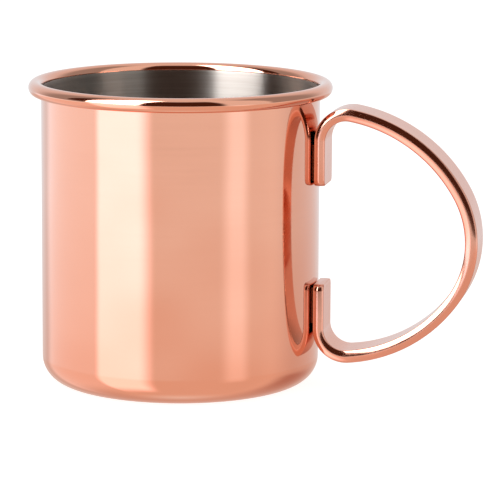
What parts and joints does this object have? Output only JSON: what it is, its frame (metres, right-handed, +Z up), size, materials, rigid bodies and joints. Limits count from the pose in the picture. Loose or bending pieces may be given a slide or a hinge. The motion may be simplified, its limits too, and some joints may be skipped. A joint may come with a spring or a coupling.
{
  "type": "copper mug",
  "caption": "Straight-sided drinking mug of polished copper with a rolled rim, a brushed steel liner and a looped strip handle.",
  "frame": {"origin": "on the cup's axis, at the flat underside that the mug stands on", "axes": "+Z up the cup's axis and out of its mouth, +X from the axis towards the handle, +Y by the right hand"},
  "size_m": [0.1406, 0.0938, 0.094],
  "materials": {
    "copper_sheet": "mirror-polished copper under clear lacquer",
    "copper_strip": "mirror-polished copper under clear lacquer",
    "liner_steel": "brushed round the axis",
    "brazing_alloy": "dull, as brazed"
  },
  "bodies": {
    "root": {"outer_shell": "copper_sheet", "inner_liner": "liner_steel", "handle": "copper_strip", "upper_braze_joint": "brazing_alloy", "lower_braze_joint": "brazing_alloy"}
  },
  "joints": []
}
